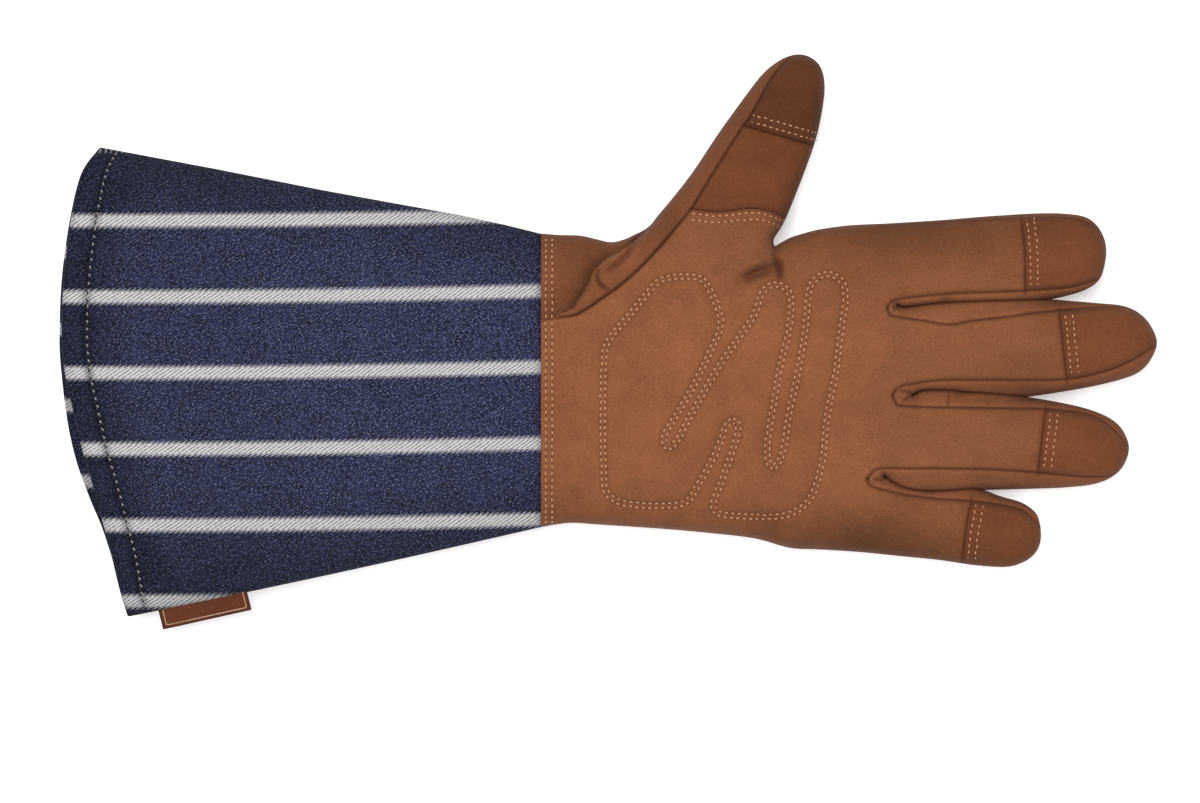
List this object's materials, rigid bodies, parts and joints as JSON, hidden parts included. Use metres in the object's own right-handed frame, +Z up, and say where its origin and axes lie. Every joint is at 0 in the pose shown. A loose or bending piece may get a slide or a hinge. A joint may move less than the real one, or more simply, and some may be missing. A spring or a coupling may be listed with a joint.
{
  "type": "rose pruning gauntlet",
  "caption": "Left-hand leather gardening glove with a quilted palm pad and fingertip patches, sewn to a long flared denim cuff, lying palm up.",
  "frame": {"origin": "middle of the wrist seam, on the surface that the glove lies on", "axes": "+X along the hand to the fingertips, +Y to the thumb's side, +Z up out of the palm"},
  "size_m": [0.3843, 0.2017, 0.036],
  "materials": {
    "palm_panel": "tan suede-finished goat leather, matt, sewn with tan thread",
    "back_panel": "tan suede-finished goat leather, matt",
    "fourchette_index_middle": "tan suede-finished leather side wall",
    "fourchette_middle_ring": "tan suede-finished leather side wall",
    "fourchette_ring_little": "tan suede-finished leather side wall",
    "thumb_front": "darker tan leather, matt",
    "thumb_back": "tan suede-finished leather, matt",
    "tip_patch_index": "darker tan leather patch",
    "tip_patch_middle": "darker tan leather patch",
    "tip_patch_ring": "darker tan leather patch",
    "tip_patch_little": "darker tan leather patch",
    "tip_patch_thumb": "dark brown leather patch",
    "palm_pad": "tan leather over soft padding, quilted in lobes",
    "cuff": "navy denim twill with narrow white stripes along the cuff",
    "cuff_hem": "navy denim turned inside the mouth and stitched",
    "label_tab": "chestnut brown tab, bare"
  },
  "bodies": {
    "root": {"palm_panel": "palm_panel", "back_panel": "back_panel", "fourchette_index_middle": "fourchette_index_middle", "fourchette_middle_ring": "fourchette_middle_ring", "fourchette_ring_little": "fourchette_ring_little", "thumb_front": "thumb_front", "thumb_back": "thumb_back", "tip_patch_index": "tip_patch_index", "tip_patch_middle": "tip_patch_middle", "tip_patch_ring": "tip_patch_ring", "tip_patch_little": "tip_patch_little", "tip_patch_thumb": "tip_patch_thumb", "palm_pad": "palm_pad", "cuff": "cuff", "cuff_hem": "cuff_hem", "label_tab": "label_tab"}
  },
  "joints": []
}
